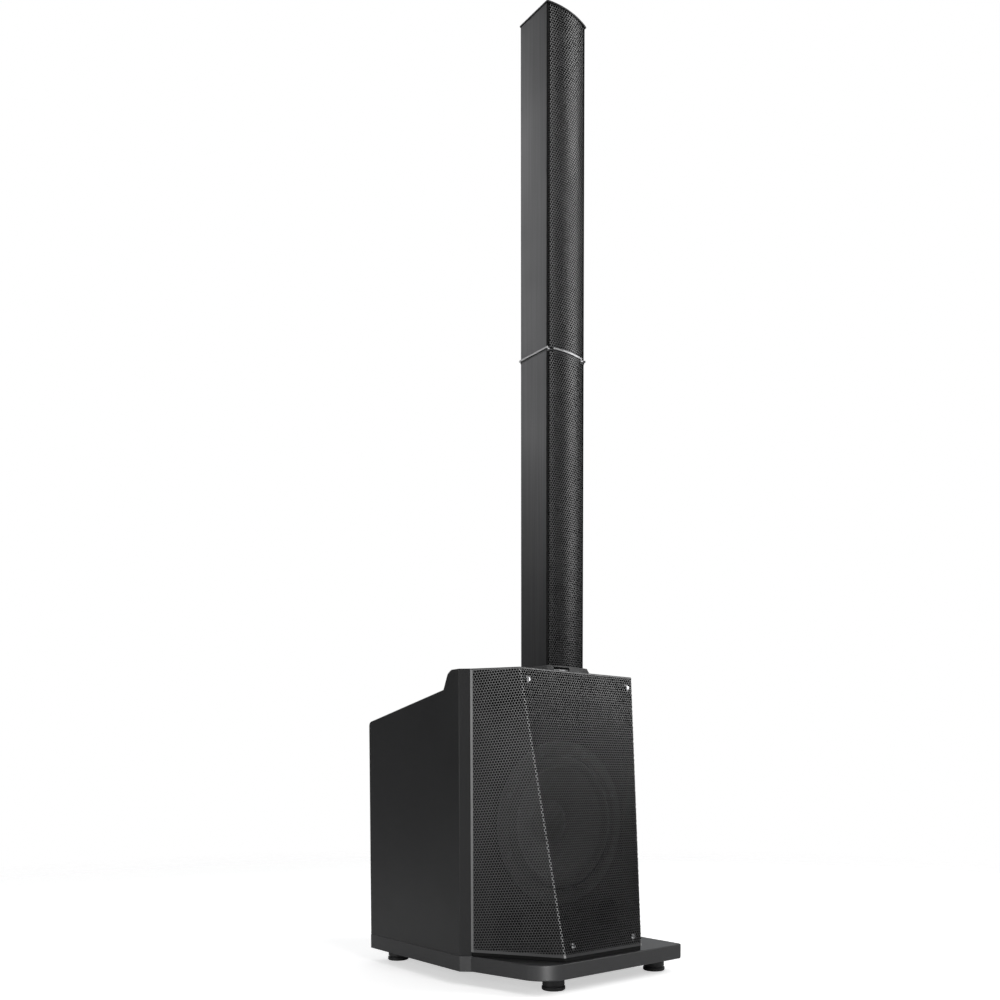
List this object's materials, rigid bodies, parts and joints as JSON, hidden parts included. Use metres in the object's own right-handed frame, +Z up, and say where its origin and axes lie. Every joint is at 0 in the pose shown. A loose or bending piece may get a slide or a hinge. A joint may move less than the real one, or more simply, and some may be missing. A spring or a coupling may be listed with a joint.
{
  "type": "line array speaker",
  "caption": "Portable column loudspeaker: two stacked plug-together driver columns on a subwoofer cabinet with a folded perforated grille and a base plinth.",
  "frame": {"origin": "on the floor, under the middle of the footprint", "axes": "+Z up along the column, the grille faces -Y, +X to the object's left as seen from behind"},
  "size_m": [0.428, 0.516, 1.8485],
  "materials": {
    "cabinet_paint": "black satin paint over board, fine orange peel",
    "foot_rubber": "matt black rubber",
    "black_screw_steel": "black oxide screws",
    "moulded_plastic": "fine-grained black moulding",
    "socket_plastic": "black glass-filled plastic",
    "grille_steel": "perforated steel, black powder coat",
    "bright_screw_steel": "nickel-plated screws",
    "frame_steel": "black pressed steel",
    "gasket_foam": "foam gasket",
    "ferrite": "dark ceramic magnet",
    "plated_steel": "zinc-plated steel",
    "surround_rubber": "soft black rubber",
    "spider_cloth": "impregnated cloth",
    "panel_aluminium": "black coated aluminium panel",
    "heat_sink_aluminium": "black anodised aluminium",
    "board_laminate": "green circuit board",
    "component_plastic": "sleeved components",
    "cable_plastic": "black insulation",
    "cone_paper": "coated pulp cone",
    "coil_aluminium": "wound aluminium former",
    "column_aluminium": "dark grey satin extrusion",
    "column_grille_steel": "fine perforated steel, satin black",
    "plate_aluminium": "bare satin aluminium plate",
    "cap_plastic": "black cap",
    "contact_brass": "turned brass contacts",
    "knob_plastic": "soft black knobs",
    "rocker_plastic": "glossy black rocker"
  },
  "bodies": {
    "cabinet": {"base_plinth": "cabinet_paint", "rubber_feet": "foot_rubber", "fixing_screws": "black_screw_steel", "left_side_panel": "cabinet_paint", "right_side_panel": "cabinet_paint", "top_panel": "cabinet_paint", "back_panel": "cabinet_paint", "baffle_board": "cabinet_paint", "baffle_cheeks": "cabinet_paint", "nose_base": "moulded_plastic", "front_hood": "moulded_plastic", "column_collar": "moulded_plastic", "column_socket": "socket_plastic", "sub_grille": "grille_steel", "grille_screws": "bright_screw_steel", "port_tubes": "moulded_plastic", "woofer_basket": "frame_steel", "woofer_gasket": "gasket_foam", "woofer_magnet": "ferrite", "woofer_yoke": "plated_steel", "woofer_surround": "surround_rubber", "woofer_spider": "spider_cloth", "carry_handle": "moulded_plastic", "amp_panel": "panel_aluminium", "amp_tray": "plated_steel", "heat_sink": "heat_sink_aluminium", "circuit_board": "board_laminate", "board_components": "component_plastic", "potentiometers": "plated_steel", "input_sockets": "socket_plastic", "mains_inlet": "socket_plastic", "rocker_frame": "socket_plastic", "cable_loom": "cable_plastic"},
    "woofer_motor": {"woofer_cone": "cone_paper", "woofer_dust_cap": "cone_paper", "woofer_voice_coil": "coil_aluminium"},
    "lower_column": {"lower_shell": "column_aluminium", "lower_grille": "column_grille_steel", "lower_bottom_plate": "plate_aluminium", "lower_top_plate": "cap_plastic", "lower_plug": "socket_plastic", "lower_plug_pins": "contact_brass", "lower_drivers": "frame_steel", "lower_surrounds": "surround_rubber", "lower_socket": "socket_plastic"},
    "lower_cones": {"lower_cones": "cone_paper"},
    "upper_column": {"upper_shell": "column_aluminium", "upper_grille": "column_grille_steel", "upper_bottom_plate": "plate_aluminium", "upper_top_cap": "cap_plastic", "upper_plug": "socket_plastic", "upper_plug_pins": "contact_brass", "upper_drivers": "frame_steel", "upper_surrounds": "surround_rubber"},
    "upper_cones": {"upper_cones": "cone_paper"},
    "mic_knob": {"mic_knob": "knob_plastic"},
    "line_knob": {"line_knob": "knob_plastic"},
    "bass_knob": {"bass_knob": "knob_plastic"},
    "mode_button": {"mode_button": "knob_plastic"},
    "power_rocker": {"power_rocker": "rocker_plastic"}
  },
  "joints": [
    {"name": "woofer_travel", "type": "slide", "parent": "cabinet", "child": "woofer_motor", "axis": [0, -1, 0], "range_m": [-0.006, 0.006], "stiffness_N_per_m": 2500, "deforming": ["woofer_surround", "woofer_spider"]},
    {"name": "lower_column_lift", "type": "slide", "parent": "cabinet", "child": "lower_column", "axis": [0, 0, 1], "range_m": [0, 0.065]},
    {"name": "upper_column_lift", "type": "slide", "parent": "lower_column", "child": "upper_column", "axis": [0, 0, 1], "range_m": [0, 0.055]},
    {"name": "lower_cones_travel", "type": "slide", "parent": "lower_column", "child": "lower_cones", "axis": [0, -1, 0], "range_m": [-0.001, 0.001], "stiffness_N_per_m": 3000, "deforming": ["lower_surrounds"]},
    {"name": "upper_cones_travel", "type": "slide", "parent": "upper_column", "child": "upper_cones", "axis": [0, -1, 0], "range_m": [-0.001, 0.001], "stiffness_N_per_m": 3000, "deforming": ["upper_surrounds"]},
    {"name": "mic_knob_turn", "type": "hinge", "parent": "cabinet", "child": "mic_knob", "pos_m": [-0.09, 0.2505, 0.3], "axis": [0, 1, 0], "range_deg": [-150, 150]},
    {"name": "line_knob_turn", "type": "hinge", "parent": "cabinet", "child": "line_knob", "pos_m": [-0.03, 0.2505, 0.3], "axis": [0, 1, 0], "range_deg": [-150, 150]},
    {"name": "bass_knob_turn", "type": "hinge", "parent": "cabinet", "child": "bass_knob", "pos_m": [0.03, 0.2505, 0.3], "axis": [0, 1, 0], "range_deg": [-150, 150]},
    {"name": "mode_button_press", "type": "slide", "parent": "cabinet", "child": "mode_button", "axis": [0, -1, 0], "range_m": [0, 0.003]},
    {"name": "power_rocker_tip", "type": "hinge", "parent": "cabinet", "child": "power_rocker", "pos_m": [0.05, 0.235, 0.165], "axis": [1, 0, 0], "range_deg": [0, 14]}
  ]
}
